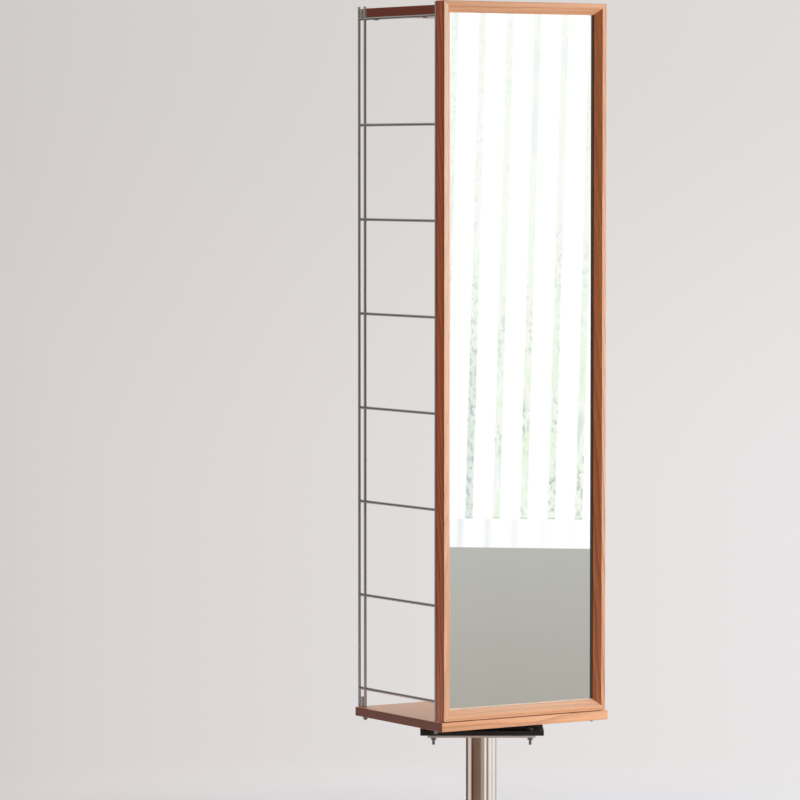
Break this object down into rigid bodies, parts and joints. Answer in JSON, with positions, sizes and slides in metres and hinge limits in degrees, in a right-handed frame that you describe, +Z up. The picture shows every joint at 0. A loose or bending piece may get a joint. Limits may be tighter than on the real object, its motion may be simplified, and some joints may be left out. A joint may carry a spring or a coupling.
{
  "type": "swivelling floor mirror with storage",
  "caption": "Tall framed floor mirror that turns on a round post, with a storage bay between two rod ladders behind it, two wooden shelves and a heavy round base.",
  "frame": {"origin": "on the floor, on the axis of the post and of the swivel", "axes": "+Z up along the post; +X along the mirror's width, to the right of someone who looks into it; +Y back, away from the mirror's face"},
  "size_m": [0.4399, 0.44, 1.804],
  "materials": {
    "cherry_wood": "satin lacquered reddish cherry, straight grain",
    "spline_wood": "plain beech",
    "backing_board": "brown hardboard",
    "silvered_glass": "silvered float glass with bare edges",
    "rod_steel": "round bar, dull chromed",
    "stainless_tube": "satin, brushed round the tube",
    "black_steel": "black powder coat, satin",
    "plain_steel": "oiled bare steel",
    "zinc_steel": "zinc plated",
    "dark_zinc": "black passivated",
    "ball_steel": "polished",
    "bush_bronze": "plain bronze",
    "cage_nylon": "natural nylon",
    "packer_plastic": "dark brown",
    "pad_rubber": "soft, matt"
  },
  "bodies": {
    "base": {"base_disc": "black_steel", "base_pads": "pad_rubber", "foot_plug": "plain_steel", "foot_bolt": "zinc_steel", "post_tube": "stainless_tube", "head_plate": "stainless_tube", "turntable_slab": "black_steel", "slab_bolts": "zinc_steel", "slab_washers": "zinc_steel", "slab_nuts": "zinc_steel", "lower_plate": "dark_zinc", "lower_plate_screws": "zinc_steel", "lower_race": "plain_steel", "lower_race_rivets": "zinc_steel", "pivot_bolt": "zinc_steel", "pivot_washer": "zinc_steel", "pivot_nut": "zinc_steel"},
    "bearing": {"bearing_balls": "ball_steel", "ball_cage": "cage_nylon"},
    "mirror_unit": {"upper_race": "plain_steel", "upper_race_rivets": "zinc_steel", "pivot_bush": "bush_bronze", "turning_plate": "dark_zinc", "turning_plate_screws": "zinc_steel", "bottom_board": "cherry_wood", "top_board": "cherry_wood", "left_stile": "cherry_wood", "right_stile": "cherry_wood", "top_rail": "cherry_wood", "bottom_rail": "cherry_wood", "corner_keys": "spline_wood", "mirror_glass": "silvered_glass", "mirror_backing": "backing_board", "backing_beads": "cherry_wood", "frame_packers": "packer_plastic", "frame_foot_screws": "zinc_steel", "frame_brackets": "rod_steel", "frame_bracket_screws": "zinc_steel", "upright_washers": "zinc_steel", "upright_nuts": "zinc_steel", "top_board_clips": "zinc_steel", "top_board_clip_screws": "zinc_steel", "left_front_upright": "rod_steel", "left_inner_upright": "rod_steel", "left_outer_upright": "rod_steel", "right_front_upright": "rod_steel", "right_inner_upright": "rod_steel", "right_outer_upright": "rod_steel", "left_rungs": "rod_steel", "right_rungs": "rod_steel", "left_pegs": "rod_steel", "right_pegs": "rod_steel"}
  },
  "joints": [
    {"name": "mirror_swivel", "type": "hinge", "parent": "base", "child": "mirror_unit", "pos_m": [0, 0, 0.291], "axis": [0, 0, 1], "continuous": true},
    {"name": "bearing_roll", "type": "hinge", "parent": "base", "child": "bearing", "pos_m": [0, 0, 0.284], "axis": [0, 0, 1], "continuous": true}
  ],
  "couplings": [
    {"joint": "bearing_roll", "follows": "mirror_swivel", "ratio": 0.5}
  ]
}
